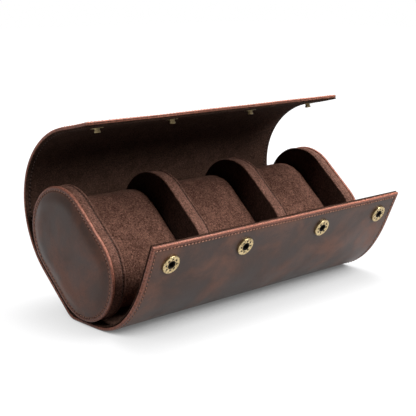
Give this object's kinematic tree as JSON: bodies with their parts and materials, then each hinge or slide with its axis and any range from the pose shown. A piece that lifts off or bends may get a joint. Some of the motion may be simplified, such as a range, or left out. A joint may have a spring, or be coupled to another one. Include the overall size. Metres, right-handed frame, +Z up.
{
  "type": "watch travel case",
  "caption": "Leather roll for watches: padded end caps, dividers and lift-out pillows inside a wrap whose two flaps close with ring-spring snaps.",
  "frame": {"origin": "foot of the compartments' centre line on the resting face, in the middle of the case's length", "axes": "+X runs along the case, +Y away from the front flap, +Z up"},
  "size_m": [0.238, 0.1351, 0.1284],
  "materials": {
    "outer_leather": "waxed satin with worn edges",
    "lining_suede": "brushed suede",
    "body_suede": "brushed suede",
    "pillow_suede": "brushed suede",
    "base_felt": "brushed suede over soft board",
    "board": "plain",
    "foam": "plain",
    "brass": "aged satin"
  },
  "bodies": {
    "case": {"spine_leather": "outer_leather", "spine_lining": "lining_suede", "base_board": "base_felt", "left_cap_leather": "outer_leather", "left_cap_board": "board", "left_cap_gusset": "body_suede", "left_cap_facing": "body_suede", "right_cap_leather": "outer_leather", "right_cap_board": "board", "right_cap_gusset": "body_suede", "right_cap_facing": "body_suede", "left_divider_board": "board", "left_divider_band": "body_suede", "left_divider_left_face": "body_suede", "left_divider_right_face": "body_suede", "right_divider_board": "board", "right_divider_band": "body_suede", "right_divider_left_face": "body_suede", "right_divider_right_face": "body_suede"},
    "back": {"back_leather": "outer_leather", "back_lining": "lining_suede"},
    "crown": {"crown_leather": "outer_leather", "crown_lining": "lining_suede"},
    "cover": {"cover_leather": "outer_leather", "cover_lining": "lining_suede", "snap_studs": "brass", "snap_caps": "brass"},
    "sill": {"sill_leather": "outer_leather", "sill_lining": "lining_suede"},
    "front": {"front_leather": "outer_leather", "front_lining": "lining_suede"},
    "snap_panel": {"snap_panel_leather": "outer_leather", "snap_panel_lining": "lining_suede", "snap_sockets": "brass", "snap_ring_springs": "brass", "snap_socket_posts": "brass"},
    "left_pillow": {"left_pillow_cover": "pillow_suede", "left_pillow_core": "foam"},
    "middle_pillow": {"middle_pillow_cover": "pillow_suede", "middle_pillow_core": "foam"},
    "right_pillow": {"right_pillow_cover": "pillow_suede", "right_pillow_core": "foam"}
  },
  "joints": [
    {"name": "back_bend", "type": "hinge", "parent": "case", "child": "back", "pos_m": [0, 0.041, 0.03326], "axis": [1, 0, 0], "range_deg": [0, 19.2]},
    {"name": "crown_bend", "type": "hinge", "parent": "back", "child": "crown", "pos_m": [0, 0.05425, 0.06411], "axis": [1, 0, 0], "range_deg": [0, 16.31]},
    {"name": "cover_bend", "type": "hinge", "parent": "crown", "child": "cover", "pos_m": [0, 0.04878, 0.09361], "axis": [1, 0, 0], "range_deg": [0, 16.01]},
    {"name": "sill_bend", "type": "hinge", "parent": "case", "child": "sill", "pos_m": [0, -0.02211, 0.0016], "axis": [-1, 0, 0], "range_deg": [0, 23.2]},
    {"name": "front_bend", "type": "hinge", "parent": "sill", "child": "front", "pos_m": [0, -0.0559, 0.02012], "axis": [-1, 0, 0], "range_deg": [0, 22.01]},
    {"name": "snap_bend", "type": "hinge", "parent": "front", "child": "snap_panel", "pos_m": [0, -0.06712, 0.03955], "axis": [-1, 0, 0], "range_deg": [0, 26.31]},
    {"name": "left_pillow_slide", "type": "slide", "parent": "case", "child": "left_pillow", "axis": [0, 0.6561, -0.7547], "range_m": [-0.065, 0]},
    {"name": "middle_pillow_slide", "type": "slide", "parent": "case", "child": "middle_pillow", "axis": [0, 0.6561, -0.7547], "range_m": [-0.065, 0]},
    {"name": "right_pillow_slide", "type": "slide", "parent": "case", "child": "right_pillow", "axis": [0, 0.6561, -0.7547], "range_m": [-0.065, 0]}
  ],
  "couplings": [
    {"joint": "crown_bend", "follows": "back_bend", "ratio": 0.84896},
    {"joint": "cover_bend", "follows": "back_bend", "ratio": 0.83333},
    {"joint": "front_bend", "follows": "sill_bend", "ratio": 0.94828},
    {"joint": "snap_bend", "follows": "sill_bend", "ratio": 1.1336}
  ]
}
